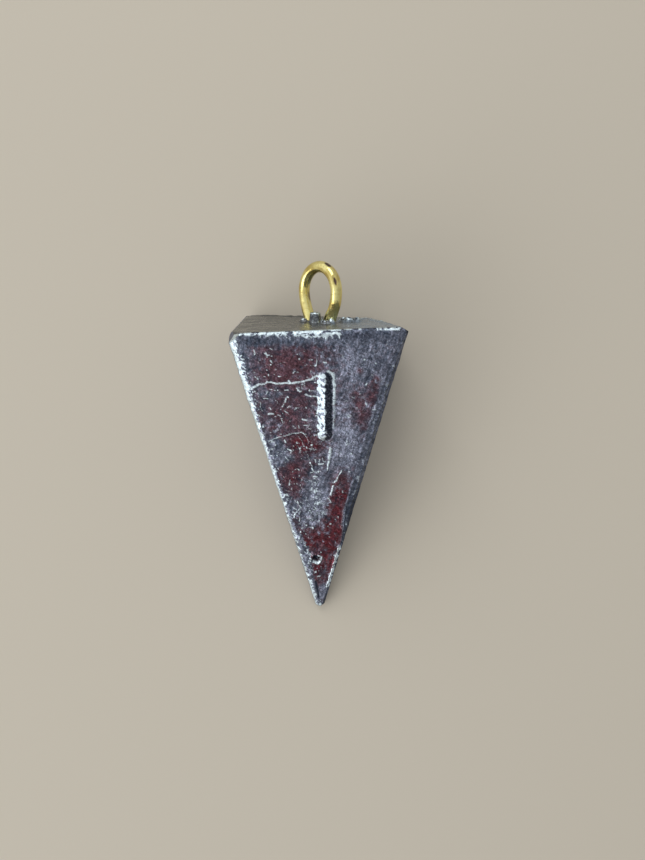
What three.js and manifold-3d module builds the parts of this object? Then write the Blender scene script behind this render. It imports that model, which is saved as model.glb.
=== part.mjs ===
// Pyramid fishing sinker: a cast lead pyramid with a bent brass wire eye cast into its base.
// Units are millimetres. The sinker lies on one side face: +Z is up, the eye points along +Y.
// The lead is first drawn about its own axis, with the sharp point of the pyramid at the origin
// and the base towards +Y, and is then tipped about X until its lower side face is level.
import * as THREE from "three";
import { mergeVertices } from "three/addons/utils/BufferGeometryUtils.js";
import Module from "manifold-3d";

// Pyramid
const BASE_WIDTH = 15.7; // across the flats, at the sharp edges of the base
const SHARP_HEIGHT = 31.35; // from the base to the point where the side faces would meet
const TIP_RADIUS = 0.5; // rounding that blunts the point
const BASE_EDGE_DROP = 1.0; // how far the rounded rim of the base reaches down the side faces
const BASE_EDGE_INSET = 0.5; // and how far it reaches in over the base
const BASE_TWIST = 0.26; // each corner of the base stands this much above or below its middle

// Slant edges: how far each break reaches over the upper or lower face and over the left or right
// face, at the base and next to the tip
const UPPER_RIGHT_BREAK = { flatBase: 0.7, flatTip: 0.3, sideBase: 0.35, sideTip: 0.3 };
const UPPER_LEFT_BREAK = { flatBase: 0.75, flatTip: 0.6, sideBase: 0.4, sideTip: 0.3 };
const LOWER_LEFT_BREAK = { flatBase: 0.95, flatTip: 0.5, sideBase: 0.95, sideTip: 0.5 };
const LOWER_RIGHT_BREAK = { flatBase: 1.3, flatTip: 0.6, sideBase: 1.3, sideTip: 0.6 };
const CORNER_CROWN = 0.08; // bulge of a broken corner over its chord
const FLASH_HEIGHT = 0.14; // thin fin where the two halves of the mould met
const FLASH_WIDTH = 0.3;

// Corners of the base that the pour left short or a knock took off: how far the missing piece
// reaches from the sharp corner across the base's lower or upper edge, up or down its side edge, and
// along the slant edge
const SHORT_CORNER = { across: 2.55, rise: 17.5, along: 1.45 }; // lower right
const KNOCKED_CORNER = { across: 1.75, rise: 2.65, along: 1.75 }; // upper left

// Raised stroke on the upper side face, shaped like a hipped roof
const BAR_LENGTH = 6.85;
const BAR_WIDTH = 1.3;
const BAR_HEIGHT = 0.42;
const BAR_CREST = 0.12; // width of its flat top
const BAR_OFFSET = 0.65; // to the right of the middle of the face
const BAR_FROM_BASE = 7.2; // from the base edge to the middle of the stroke

// Blow hole near the tip on the same face
const PIT_DIAMETER = 0.85;
const PIT_DEPTH = 0.4;
const PIT_OFFSET = -0.35;
const PIT_FROM_BASE = 24.3;

// What the pour left on the base: a nub between the strands, a scar of the gate, and wetting rings
const NUB_WIDTH = 1.16;
const NUB_HEIGHT = 1.05;
const NUB_OFFSET = -0.2;
const NUB_RISE = 0.75;
const GATE_LENGTH = 2.3;
const GATE_WIDTH = 1.1;
const GATE_HEIGHT = 0.45;
const GATE_OFFSET = 3.1;
const GATE_RISE = -0.6;
const COLLAR_WIDTH = 0.55; // around the hole of each strand
const COLLAR_HEIGHT = 0.28;

// Wire eye
const WIRE_DIAMETER = 1.07;
const EYE_RADIUS = 2.27; // of the centre line
const EYE_REACH = 5.2; // from the base to the top of the centre line
const EYE_OFFSET = 0.4; // of the eye from the axis, in the plane of the eye
const EYE_TURN = 48; // degrees from level to the plane of the eye, about the axis
const SHOULDER_HALF = 2.05; // half the spread of the strands just below the round
const SHOULDER_REACH = 1.7;
const FOOT_HALF = 1.3; // half the spread where the strands enter the lead
const FOOT_SHIFT = -0.1; // of both strands in the lead, from the eye's own middle
const NECK_HALF = 0.75; // half the spread where they run side by side
const NECK_DEPTH = 3.0;
const LEG_DEPTH = 6.2; // where the ends start to splay
const ANCHOR_DEPTH = 9.2; // how deep the ends reach
const ANCHOR_HALF = 2.3; // half the spread of the splayed ends
const WIRE_CLEARANCE = 0.3; // between the wire and the lead

// Smoothness
const ROUND_STEPS = 16;
const TIP_STEPS = 5;
const RIM_STEPS = 5;
const WIRE_SIDES = 14;
const WIRE_STEPS = 110;
const LEG_STEPS = 44;

const HALF_BASE = BASE_WIDTH / 2;
const SLOPE = HALF_BASE / SHARP_HEIGHT;
const FACE_ANGLE = Math.atan(SLOPE); // between the axis and a side face
const SLANT_LENGTH = SHARP_HEIGHT / Math.cos(FACE_ANGLE);
const WIRE_RADIUS = WIRE_DIAMETER / 2;
const HOLE_RADIUS = WIRE_RADIUS + WIRE_CLEARANCE;
const ROOT_DEPTH = 0.5; // how far added lead reaches into the pyramid

const wasm = await Module();
wasm.setup();

// Closed geometry to a solid for joining and cutting, and back
function toSolid(geometry) {
  const bare = geometry.clone();
  bare.deleteAttribute("normal");
  bare.deleteAttribute("uv");
  const merged = mergeVertices(bare, 1e-5);
  return new wasm.Manifold(
    new wasm.Mesh({
      numProp: 3,
      vertProperties: new Float32Array(merged.attributes.position.array),
      triVerts: new Uint32Array(merged.index.array),
    }),
  );
}

function toGeometry(solid) {
  const mesh = solid.getMesh();
  const geometry = new THREE.BufferGeometry();
  geometry.setAttribute("position", new THREE.BufferAttribute(new Float32Array(mesh.vertProperties), 3));
  geometry.setIndex(new THREE.BufferAttribute(new Uint32Array(mesh.triVerts), 1));
  geometry.computeVertexNormals();
  return geometry;
}

// Skin over rings of points that all have the same count, closed by a point at each end
function loft(rings, startPoint, endPoint) {
  const count = rings[0].length;
  const points = [startPoint, ...rings.flat(), endPoint];
  const last = points.length - 1;
  const faces = [];
  for (let i = 0; i < count; i++) {
    const j = (i + 1) % count;
    faces.push(0, 1 + i, 1 + j);
    for (let ring = 0; ring < rings.length - 1; ring++) {
      const a = 1 + ring * count;
      const b = a + count;
      faces.push(a + i, b + i, b + j, a + i, b + j, a + j);
    }
    const top = 1 + (rings.length - 1) * count;
    faces.push(top + i, last, top + j);
  }
  const geometry = new THREE.BufferGeometry().setFromPoints(points);
  geometry.setIndex(faces);
  return geometry;
}

// The four slant edges, in turn about the axis. The mould parted along one diagonal.
const SLANT_EDGES = [
  { x: 1, z: 1, reach: UPPER_RIGHT_BREAK, flash: true },
  { x: -1, z: 1, reach: UPPER_LEFT_BREAK, flash: false },
  { x: -1, z: -1, reach: LOWER_LEFT_BREAK, flash: true },
  { x: 1, z: -1, reach: LOWER_RIGHT_BREAK, flash: false },
];

// Five points across one broken corner of the square section, at a distance from the sharp point
function cornerPoints(edge, half, distance) {
  const { flatBase, flatTip, sideBase, sideTip } = edge.reach;
  const along = distance / SHARP_HEIGHT;
  const flat = Math.min(THREE.MathUtils.lerp(flatTip, flatBase, along), half * 0.8);
  const side = Math.min(THREE.MathUtils.lerp(sideTip, sideBase, along), half * 0.8);
  const room = Math.min((flat + side) / (flatTip + sideTip), 1);
  const rise = edge.flash ? FLASH_HEIGHT : CORNER_CROWN;
  const spread = edge.flash ? Math.min(FLASH_WIDTH / 2 / Math.hypot(flat, side), 0.3) : 0.25;
  const heights = [0, edge.flash ? 0 : rise * 0.75, rise, edge.flash ? 0 : rise * 0.75, 0];
  const shares = [0, 0.5 - spread, 0.5, 0.5 + spread, 1];
  const section = shares.map((share, i) => {
    const out = (heights[i] * room) / Math.SQRT2;
    return new THREE.Vector2(half - flat * share + out, half - side * (1 - share) + out);
  });
  const ordered = edge.x * edge.z > 0 ? section : section.reverse();
  return ordered.map((p) => new THREE.Vector2(edge.x * p.x, edge.z * p.y));
}

// One section of the pyramid. The inset draws the section in, for the rim of the base.
function bodySection(distance, inset) {
  return SLANT_EDGES.flatMap((edge) => {
    const lift = BASE_TWIST * edge.x * edge.z * (distance / SHARP_HEIGHT) ** 12;
    const half = (distance + lift) * SLOPE - inset;
    return cornerPoints(edge, half, distance).map((p) => new THREE.Vector3(p.x, distance + lift, p.y));
  });
}

function pyramidSolid() {
  const rings = [];
  const centre = TIP_RADIUS / Math.sin(FACE_ANGLE);
  for (let i = 1; i <= TIP_STEPS; i++) {
    const angle = (i / TIP_STEPS) * (Math.PI / 2 - FACE_ANGLE);
    const distance = centre - TIP_RADIUS * Math.cos(angle);
    rings.push(bodySection(distance, distance * SLOPE - TIP_RADIUS * Math.sin(angle)));
  }
  const rimStart = SHARP_HEIGHT - BASE_EDGE_DROP;
  const straightSteps = 6;
  for (let i = 1; i < straightSteps; i++) {
    rings.push(bodySection(THREE.MathUtils.lerp(centre, rimStart, i / straightSteps), 0));
  }
  for (let i = 0; i <= RIM_STEPS; i++) {
    const angle = (i / RIM_STEPS) * (Math.PI / 2);
    const distance = rimStart + BASE_EDGE_DROP * Math.sin(angle);
    rings.push(bodySection(distance, BASE_EDGE_INSET * (1 - Math.cos(angle))));
  }
  const tip = new THREE.Vector3(0, centre - TIP_RADIUS, 0);
  const middle = new THREE.Vector3(0, SHARP_HEIGHT, 0);
  return toSolid(loft(rings, tip, middle));
}

// Takes a corner off the base with one flat cut
function cutCorner(body, x, z, cut) {
  const outward = new THREE.Vector3(x / cut.across, 1 / cut.along, z / cut.rise);
  const corner = new THREE.Vector3(x * HALF_BASE, SHARP_HEIGHT, z * HALF_BASE);
  const size = outward.length();
  const reach = (outward.dot(corner) - 1) / size;
  return body.trimByPlane(outward.divideScalar(-size).toArray(), -reach);
}

// Places something drawn in X and Y, with Z outwards, on the upper side face
function onUpperFace(geometry, offset, fromBase) {
  const slant = SLANT_LENGTH - fromBase;
  geometry.rotateX(FACE_ANGLE);
  geometry.translate(offset, slant * Math.cos(FACE_ANGLE), slant * Math.sin(FACE_ANGLE));
  return geometry;
}

// Places something drawn in X and Y, with Z outwards, on the base
function onBase(geometry, offset, rise) {
  geometry.rotateX(-Math.PI / 2);
  geometry.translate(offset, SHARP_HEIGHT, rise);
  return geometry;
}

function stadium(length, width) {
  const radius = width / 2;
  const reach = length / 2 - radius;
  const shape = new THREE.Shape();
  shape.absarc(0, reach, radius, 0, Math.PI, false);
  shape.absarc(0, -reach, radius, Math.PI, 2 * Math.PI, false);
  shape.closePath();
  return shape;
}

// Block with rounded ends that reaches below the surface it stands on. Its flanks draw in by the
// inset over the last part of its height, in straight slopes or in rounded steps.
function stadiumBlock(length, width, height, inset, slopeHeight, steps) {
  const geometry = new THREE.ExtrudeGeometry(stadium(length - 2 * inset, width - 2 * inset), {
    depth: ROOT_DEPTH + height - slopeHeight,
    bevelEnabled: true,
    bevelSize: inset,
    bevelThickness: slopeHeight,
    bevelSegments: steps,
    curveSegments: ROUND_STEPS / 2,
  });
  geometry.translate(0, 0, -ROOT_DEPTH);
  return geometry;
}

function addBar(body) {
  const inset = (BAR_WIDTH - BAR_CREST) / 2;
  const block = stadiumBlock(BAR_LENGTH, BAR_WIDTH, BAR_HEIGHT, inset, BAR_HEIGHT, 1);
  return body.add(toSolid(onUpperFace(block, BAR_OFFSET, BAR_FROM_BASE)));
}

// The blow hole is the lower part of a ball whose cut at the face has the pit's diameter
function addPit(body) {
  const half = PIT_DIAMETER / 2;
  const ballRadius = (half * half + PIT_DEPTH * PIT_DEPTH) / (2 * PIT_DEPTH);
  const ball = new THREE.SphereGeometry(ballRadius, ROUND_STEPS, ROUND_STEPS / 2);
  ball.translate(0, 0, ballRadius - PIT_DEPTH);
  return body.subtract(toSolid(onUpperFace(ball, PIT_OFFSET, PIT_FROM_BASE)));
}

function addNub(body) {
  const profile = [
    new THREE.Vector2(0, -ROOT_DEPTH),
    new THREE.Vector2(NUB_WIDTH * 0.6, -ROOT_DEPTH),
    new THREE.Vector2(NUB_WIDTH * 0.6, 0),
    new THREE.Vector2(NUB_WIDTH * 0.5, NUB_HEIGHT * 0.25),
    new THREE.Vector2(NUB_WIDTH * 0.46, NUB_HEIGHT * 0.7),
    new THREE.Vector2(NUB_WIDTH * 0.3, NUB_HEIGHT * 0.94),
    new THREE.Vector2(0, NUB_HEIGHT),
  ];
  const nub = new THREE.LatheGeometry(profile, ROUND_STEPS);
  nub.rotateX(Math.PI / 2);
  return body.add(toSolid(onBase(nub, NUB_OFFSET, NUB_RISE)));
}

function addGateScar(body) {
  const rounding = GATE_HEIGHT / 2;
  const block = stadiumBlock(GATE_LENGTH, GATE_WIDTH, GATE_HEIGHT, rounding, rounding, 3);
  block.rotateZ(Math.PI / 2);
  return body.add(toSolid(onBase(block, GATE_OFFSET, GATE_RISE)));
}

// A point of the wire's centre line, from its place across the eye and beyond the base
function wirePoint(across, beyond) {
  const turn = THREE.MathUtils.degToRad(EYE_TURN);
  const out = EYE_OFFSET + across;
  return new THREE.Vector3(out * Math.cos(turn), SHARP_HEIGHT + beyond, out * Math.sin(turn));
}

// Centre line of one strand, from its splayed end in the lead up to below the round
function strandPoints(side) {
  return [
    wirePoint(FOOT_SHIFT + side * ANCHOR_HALF, -ANCHOR_DEPTH),
    wirePoint(FOOT_SHIFT + side * NECK_HALF, -LEG_DEPTH),
    wirePoint(FOOT_SHIFT + side * NECK_HALF, -NECK_DEPTH),
    wirePoint(FOOT_SHIFT + side * FOOT_HALF, 0),
    wirePoint(side * SHOULDER_HALF, SHOULDER_REACH),
  ];
}

function roundPoints() {
  const points = [];
  const centre = EYE_REACH - EYE_RADIUS;
  const arcSteps = 10;
  for (let i = 0; i <= arcSteps; i++) {
    const angle = Math.PI * (1 - i / arcSteps);
    points.push(wirePoint(EYE_RADIUS * Math.cos(angle), centre + EYE_RADIUS * Math.sin(angle)));
  }
  return points;
}

function sweep(points, radius, steps) {
  const section = new THREE.Shape();
  section.absarc(0, 0, radius, 0, 2 * Math.PI, false);
  return new THREE.ExtrudeGeometry(section, {
    steps,
    curveSegments: WIRE_SIDES / 2,
    extrudePath: new THREE.CatmullRomCurve3(points, false, "centripetal"),
  });
}

function wireSolid() {
  const points = [...strandPoints(-1), ...roundPoints(), ...strandPoints(1).reverse()];
  return toSolid(sweep(points, WIRE_RADIUS, WIRE_STEPS));
}

// Low ring of lead that the pour drew up round a strand
function addCollar(body, side) {
  const outer = HOLE_RADIUS + COLLAR_WIDTH;
  const profile = [
    new THREE.Vector2(0, -ROOT_DEPTH),
    new THREE.Vector2(outer, -ROOT_DEPTH),
    new THREE.Vector2(outer, 0),
    new THREE.Vector2(HOLE_RADIUS + COLLAR_WIDTH * 0.45, COLLAR_HEIGHT),
    new THREE.Vector2(0, COLLAR_HEIGHT),
  ];
  const ring = new THREE.LatheGeometry(profile, ROUND_STEPS);
  ring.rotateX(Math.PI / 2);
  const foot = wirePoint(FOOT_SHIFT + side * FOOT_HALF, 0);
  return body.add(toSolid(onBase(ring, foot.x, foot.z)));
}

// Passage of one strand: the strand's own path, wider and longer by the clearance
function cutPassage(body, side) {
  const points = strandPoints(side);
  const outward = points[0].clone().sub(points[1]).setLength(WIRE_CLEARANCE);
  points.unshift(points[0].clone().add(outward));
  const beginning = wirePoint(side * EYE_RADIUS, EYE_REACH - EYE_RADIUS);
  points.push(beginning);
  return body.subtract(toSolid(sweep(points, HOLE_RADIUS, LEG_STEPS)));
}

function leadSolid() {
  let body = pyramidSolid();
  body = cutCorner(body, 1, -1, SHORT_CORNER);
  body = cutCorner(body, -1, 1, KNOCKED_CORNER);
  body = addBar(body);
  body = addPit(body);
  body = addNub(body);
  body = addGateScar(body);
  for (const side of [-1, 1]) {
    body = addCollar(body, side);
  }
  for (const side of [-1, 1]) {
    body = cutPassage(body, side);
  }
  return body;
}

const lead = new THREE.Mesh(
  toGeometry(leadSolid()),
  new THREE.MeshStandardMaterial({ color: 0x7d7b86, metalness: 0.9, roughness: 0.45 }),
);
lead.name = "lead_body";

const wireEye = new THREE.Mesh(
  toGeometry(wireSolid()),
  new THREE.MeshStandardMaterial({ color: 0xc2a04a, metalness: 1.0, roughness: 0.28 }),
);
wireEye.name = "wire_eye";

// Tip the sinker onto its lower side face, then centre it over the origin
const sinker = new THREE.Group();
sinker.add(lead, wireEye);
sinker.rotation.x = FACE_ANGLE;

const part = new THREE.Group();
part.add(sinker);
part.updateMatrixWorld(true);
const box = new THREE.Box3().setFromObject(part, true);
sinker.position.set(-(box.min.x + box.max.x) / 2, -(box.min.y + box.max.y) / 2, -box.min.z);

export default part;
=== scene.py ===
"""Looks of a cast lead pyramid sinker with a brass wire eye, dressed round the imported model."""
import math
import random
from functools import partialmethod

import bpy
import numpy as np
from mathutils import Euler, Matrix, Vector, noise


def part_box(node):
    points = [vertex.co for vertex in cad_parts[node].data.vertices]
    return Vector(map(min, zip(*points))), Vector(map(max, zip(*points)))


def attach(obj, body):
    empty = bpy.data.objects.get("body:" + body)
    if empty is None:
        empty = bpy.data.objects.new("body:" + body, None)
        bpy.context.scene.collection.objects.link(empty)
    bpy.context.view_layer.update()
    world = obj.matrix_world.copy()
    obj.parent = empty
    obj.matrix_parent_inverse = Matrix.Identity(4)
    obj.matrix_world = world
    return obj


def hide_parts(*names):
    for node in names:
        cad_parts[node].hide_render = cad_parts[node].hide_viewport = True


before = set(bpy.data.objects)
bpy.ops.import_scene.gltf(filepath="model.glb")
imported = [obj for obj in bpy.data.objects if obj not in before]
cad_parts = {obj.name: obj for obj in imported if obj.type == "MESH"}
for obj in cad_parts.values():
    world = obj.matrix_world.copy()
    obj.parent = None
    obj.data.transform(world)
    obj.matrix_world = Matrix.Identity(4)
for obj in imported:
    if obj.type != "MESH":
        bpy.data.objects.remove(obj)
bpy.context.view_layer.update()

# Shapes are worked out in millimetres about the pyramid's own axis: the sharp point at the origin,
# +Y towards the base, +Z towards the marked side face. to_frame() lays them in the row frame.
MM = 0.001

# Pyramid
BASE_WIDTH = 15.7
SHARP_HEIGHT = 31.35
TIP_RADIUS = 0.5
RIM_DROP = 1.0  # rounded rim of the base, down the side faces
RIM_INSET = 0.5  # and in over the base
BASE_TWIST = 0.26
CORNER_CROWN = 0.08
FLASH_HEIGHT = 0.14

# Broken slant edges, in turn from the upper right one. "before" and "after" are how far the break
# reaches over the faces on its two sides, as (distances from the sharp point), (reaches). "ragged" is
# the share of a reach by which its border wanders
EDGES = (
    {"flash": True, "ragged": 0.2, "before": ((2, 31), (0.3, 0.35)),
     "after": ((2, 10, 14, 26, 31), (0.25, 0.3, 0.9, 0.9, 0.6))},
    {"flash": False, "ragged": 0.2, "before": ((2, 12, 18, 24, 29), (0.7, 0.6, 0.45, 0.5, 0.75)),
     "after": ((2, 31), (0.3, 0.4))},
    {"flash": True, "ragged": 0.08, "before": ((2, 31), (0.5, 0.95)), "after": ((2, 31), (0.5, 0.95))},
    {"flash": False, "ragged": 0.08, "before": ((2, 31), (0.6, 1.3)), "after": ((2, 31), (0.6, 1.3))},
)

# Raised stroke and blow hole on the marked face, as (across, down from the base edge)
BAR_PLACE = (0.65, 7.2)
BAR_LENGTH = 6.85
BAR_WIDTH = 1.3
BAR_HEIGHT = 0.42
PIT_PLACE = (-0.35, 24.3)
PIT_RADIUS = 0.44
PIT_DEPTH = 0.42
PIT_TURN = math.radians(25)

# Wire eye
WIRE_RADIUS = 0.535
EYE_RADIUS = 2.27
EYE_REACH = 5.2
EYE_OFFSET = 0.4
EYE_TURN = math.radians(48)
EYE_STEPS = 10
# One strand from its end in the lead to below the round: (half the spread, reach beyond the base,
# shift of both strands from the eye's own middle)
STRAND = ((2.3, -9.2, -0.1), (0.75, -6.2, -0.1), (0.75, -3.0, -0.1), (1.3, 0.0, -0.1), (2.05, 1.7, 0.0))

# What the pour left on the base, as (across, up) places about the axis
NUB_PLACE = (-0.2, 0.75)
NUB_RADIUS = 0.58
NUB_HEIGHT = 1.05
GATE_PLACE = (3.1, -0.6)
COLLAR_HEIGHT = 0.3

# Fineness of the lead's mesh
MARKED_STEPS = 200
SIDE_STEPS = 80
CORNER_STEPS = 9
RING_STEPS = 320
RIM_STEPS = 11
TIP_STEPS = 12
BASE_STEPS = 100

SLOPE = BASE_WIDTH / 2 / SHARP_HEIGHT
FACE_ANGLE = math.atan(SLOPE)
SLANT = SHARP_HEIGHT / math.cos(FACE_ANGLE)
BALL_CENTRE = TIP_RADIUS / math.sin(FACE_ANGLE)
FACE_NORMAL = np.array((0.0, -math.sin(FACE_ANGLE), math.cos(FACE_ANGLE)))

# The lead's lowest Y in the frame is the front of the ball at its tip
SHIFT_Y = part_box("lead_body")[0].y / MM - (BALL_CENTRE * math.cos(FACE_ANGLE) - TIP_RADIUS)


def to_frame(points):
    """Points about the pyramid's axis, in millimetres, to the row frame in metres."""
    c, s = math.cos(FACE_ANGLE), math.sin(FACE_ANGLE)
    x, y, z = np.asarray(points, float).T
    level = np.maximum(y * s + z * c, 0.0)
    return np.column_stack((x, y * c - z * s + SHIFT_Y, level)) * MM


def ramp(low, high, value):
    """0 below low, 1 above high, and smooth between them."""
    t = np.clip((np.asarray(value, float) - low) / (high - low), 0.0, 1.0)
    return t * t * (3 - 2 * t)


def peak(value, middle, half):
    """1 where the value is middle, and less on both sides of it."""
    return np.exp(-(((value - middle) / half) ** 2))


def wander(points, scale, octaves=3, seed=0.0):
    """Smooth noise of about -1 to 1 at each point, with features about 1 / scale across."""
    moved = np.asarray(points, float) * scale + (seed, seed * 0.7, -seed)
    return np.array([noise.fractal(p, 0.9, 2.1, octaves) for p in moved])


def add_object(name, data):
    made = bpy.data.objects.new(name, data)
    bpy.context.scene.collection.objects.link(made)
    return made


def make_piece(name, points, faces, material):
    mesh = bpy.data.meshes.new(name)
    mesh.from_pydata(to_frame(points).tolist(), [], faces)
    mesh.materials.append(material)
    mesh.shade_smooth()
    mesh.update()
    return add_object(name, mesh)


def add_mask(piece, name, values):
    """A number from 0 to 1 at each point, for the material to read."""
    mask = piece.data.attributes.new(name, "FLOAT", "POINT")
    mask.data.foreach_set("value", np.clip(values, 0.0, 1.0).astype(np.float32))


def loft_faces(rings, count, closed_start, closed_end):
    """Quads between rings of equal count, with a fan at each closed end."""
    faces = []
    for ring in range(rings - 1):
        a = ring * count
        for i in range(count):
            j = (i + 1) % count
            faces.append((a + i, a + count + i, a + count + j, a + j))
    last = (rings - 1) * count
    for i in range(count):
        j = (i + 1) % count
        faces.append((closed_start, i, j))
        faces.append((last + i, closed_end, last + j))
    return faces


# The lead

def face_steps(edge):
    return MARKED_STEPS if edge == 0 else SIDE_STEPS


RING_COUNT = 4 * CORNER_STEPS + MARKED_STEPS + 3 * SIDE_STEPS


def corner_rise(edge, share):
    """How far a broken edge stands over its chord."""
    if edge["flash"]:
        return FLASH_HEIGHT * math.exp(-(((share - 0.5) / 0.13) ** 2))
    return CORNER_CROWN * math.sin(math.pi * share)


def edge_reach(number, side, distance, half):
    places, reaches = EDGES[number][side]
    reach = np.interp(distance, places, reaches)
    seed = 1.0 if side == "before" else 5.0
    ragged = noise.fractal((distance * 2.6, number * 7.3, seed), 0.7, 2.2, 4)
    return min(reach * (1 + EDGES[number]["ragged"] * ragged), half * 0.8)


def section_ring(distance, inset):
    """One ring of the pyramid's section. distance and inset hold a value for each of its points."""
    spans = []
    at = 0
    for number in range(4):
        half = distance[at] * SLOPE - inset[at]
        before = edge_reach(number, "before", distance[at], half)
        after = edge_reach(number, "after", distance[at], half)
        spans.append(((half, half - before), (half - after, half)))
        at += CORNER_STEPS + face_steps(number)
    points = []
    for number, (start, end) in enumerate(spans):
        turn = number * math.pi / 2
        c, s = round(math.cos(turn)), round(math.sin(turn))
        rise = ramp(0.8, 3.5, distance[0]) / math.sqrt(2)
        # The next edge's start, turned back into this edge's own quarter
        follow = spans[(number + 1) % 4][0]
        goal = (-follow[1], follow[0])
        places = []
        for i in range(CORNER_STEPS):
            share = i / CORNER_STEPS
            out = corner_rise(EDGES[number], share) * rise
            x = start[0] + (end[0] - start[0]) * share
            z = start[1] + (end[1] - start[1]) * share
            places.append((x + out, z + out))
        for i in range(face_steps(number)):
            share = i / face_steps(number)
            places.append((end[0] + (goal[0] - end[0]) * share, end[1] + (goal[1] - end[1]) * share))
        points += [(x * c - z * s, x * s + z * c) for x, z in places]
    flat = np.array(points)
    return np.column_stack((flat[:, 0], distance, flat[:, 1]))


def pyramid_rings():
    """Rings from the tip to the rim, then in over the base to its middle."""
    ones = np.ones(RING_COUNT)
    rings = []
    for i in range(1, TIP_STEPS + 1):
        angle = i / TIP_STEPS * (math.pi / 2 - FACE_ANGLE)
        distance = BALL_CENTRE - TIP_RADIUS * math.cos(angle)
        inset = distance * SLOPE - TIP_RADIUS * math.sin(angle)
        rings.append(section_ring(ones * distance, ones * inset))
    rim_start = SHARP_HEIGHT - RIM_DROP * 1.35
    for i in range(1, RING_STEPS + 1):
        distance = BALL_CENTRE + (rim_start - BALL_CENTRE) * i / RING_STEPS
        rings.append(section_ring(ones * distance, ones * 0.0))
    round_rim = np.linspace(0, 1, RING_COUNT, endpoint=False) * 2 * math.pi
    on_circle = np.column_stack((np.cos(round_rim), np.sin(round_rim), ones * 0.3))
    # The ring starts at the upper right corner; the rim is sharper on its right
    to_right = np.cos(round_rim + math.pi / 4)
    drop = RIM_DROP * (1 + 0.3 * wander(on_circle, 9.0, 3, 2.0)) * (1 - 0.5 * ramp(0.1, 0.6, to_right))
    for i in range(RIM_STEPS + 1):
        angle = i / RIM_STEPS * math.pi / 2
        distance = SHARP_HEIGHT - drop * (1 - math.sin(angle))
        rings.append(section_ring(distance, ones * RIM_INSET * (1 - math.cos(angle))))
    outer = rings[-1]
    middle = np.array((0.0, SHARP_HEIGHT, 0.0))
    for i in range(1, BASE_STEPS):
        share = 1 - i / BASE_STEPS
        rings.append(middle + (outer - middle) * share)
    return rings


def face_places(points):
    """(across, down from the base edge) of points on the marked face."""
    along = points[:, 1] * math.cos(FACE_ANGLE) + points[:, 2] * math.sin(FACE_ANGLE)
    return points[:, 0], SLANT - along


def bar_places(u, v):
    """(across the stroke, from its spine outwards): both are 1 at its border."""
    reach = BAR_LENGTH / 2 - BAR_WIDTH / 2
    across = (u - BAR_PLACE[0]) / (BAR_WIDTH / 2)
    beyond = np.maximum(np.abs(v - BAR_PLACE[1]) - reach, 0) / (BAR_WIDTH / 2)
    return across, np.hypot(across, beyond)


def pit_places(u, v):
    """(right, down, distance from the middle) in pit radii. The pit is nearly square."""
    right, down = (u - PIT_PLACE[0]) / PIT_RADIUS, (v - PIT_PLACE[1]) / PIT_RADIUS
    c, s = math.cos(PIT_TURN), math.sin(PIT_TURN)
    a, b = np.abs(right * c + down * s), np.abs(down * c - right * s)
    return right, down, (a**5 + b**5) ** (1 / 5)


def line_gap(u, v, line):
    """Least distance of each place to a polyline."""
    best = np.full(len(u), 1e9)
    for (ax, ay), (bx, by) in zip(line, line[1:]):
        dx, dy = bx - ax, by - ay
        share = np.clip(((u - ax) * dx + (v - ay) * dy) / (dx * dx + dy * dy), 0, 1)
        best = np.minimum(best, np.hypot(u - ax - share * dx, v - ay - share * dy))
    return best


def patches(u, v, table):
    """Sum of soft ovals, each (across, down, half width, half length, strength)."""
    total = np.zeros(len(u))
    for middle_u, middle_v, half_u, half_v, strength in table:
        away = ((u - middle_u) / half_u) ** 2 + ((v - middle_v) / half_v) ** 2
        total += strength * np.exp(-away)
    return total


# Cold laps and knocks of the marked face: (half width, height over the face, bareness, route)
FACE_LINES = (
    (0.09, 0.05, 0.95, ((-6.3, 5.5), (-5.8, 5.3), (-5.15, 4.9), (-4.3, 4.8), (-3.5, 4.9), (-2.6, 4.85),
                        (-1.5, 4.75), (-0.5, 4.5), (0.0, 4.15))),
    (0.06, 0.04, 0.7, ((-4.6, 10.65), (-3.85, 10.3), (-3.0, 10.15), (-2.3, 9.85), (-1.5, 9.8), (-1.1, 10.0))),
    (0.06, 0.03, 0.5, ((-1.3, 9.9), (-1.0, 10.4), (-0.85, 10.9))),
    (0.13, 0.05, 0.95, ((1.15, 11.5), (1.08, 12.1), (0.98, 12.6))),
    (0.08, 0.05, 0.9, ((0.98, 12.8), (0.9, 13.3), (0.86, 13.8))),
    (0.05, 0.03, 0.45, ((-1.75, 10.2), (-1.3, 11.1), (-0.9, 12.4), (-0.5, 13.8))),
    (0.07, 0.05, 0.9, ((2.2, 13.9), (1.85, 14.6), (1.5, 15.2))),
    (0.1, 0.05, 0.95, ((1.42, 15.6), (1.25, 16.2), (1.15, 16.6))),
    (0.07, 0.05, 0.8, ((0.9, 16.95), (1.2, 17.45))),
    (0.07, 0.05, 0.8, ((-1.83, 18.1), (-2.2, 18.6), (-2.44, 19.25))),
    (0.05, 0.03, 0.8, ((-4.2, 5.5), (-3.85, 5.56), (-3.4, 5.5))),
    (0.07, 0.03, 0.9, ((-2.87, 5.57), (-2.6, 5.53))),
    (0.08, 0.04, 0.9, ((-1.1, 5.93), (-0.75, 6.03), (-0.1, 6.08))),
    (0.05, 0.03, 0.7, ((-3.2, 7.2), (-3.0, 6.9), (-2.9, 6.6))),
    (0.06, 0.03, 0.8, ((-1.3, 9.03), (-0.8, 9.03))),
    (0.17, 0.04, 0.75, ((0.95, 3.72), (1.4, 4.1), (1.5, 5.2), (1.46, 7.0))),
    (0.15, 0.04, 0.5, ((1.46, 7.0), (1.5, 8.0), (1.42, 9.3))),
    (0.06, 0.05, 0.4, ((2.45, 18.0), (2.3, 19.2), (2.2, 20.6))),
)

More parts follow.
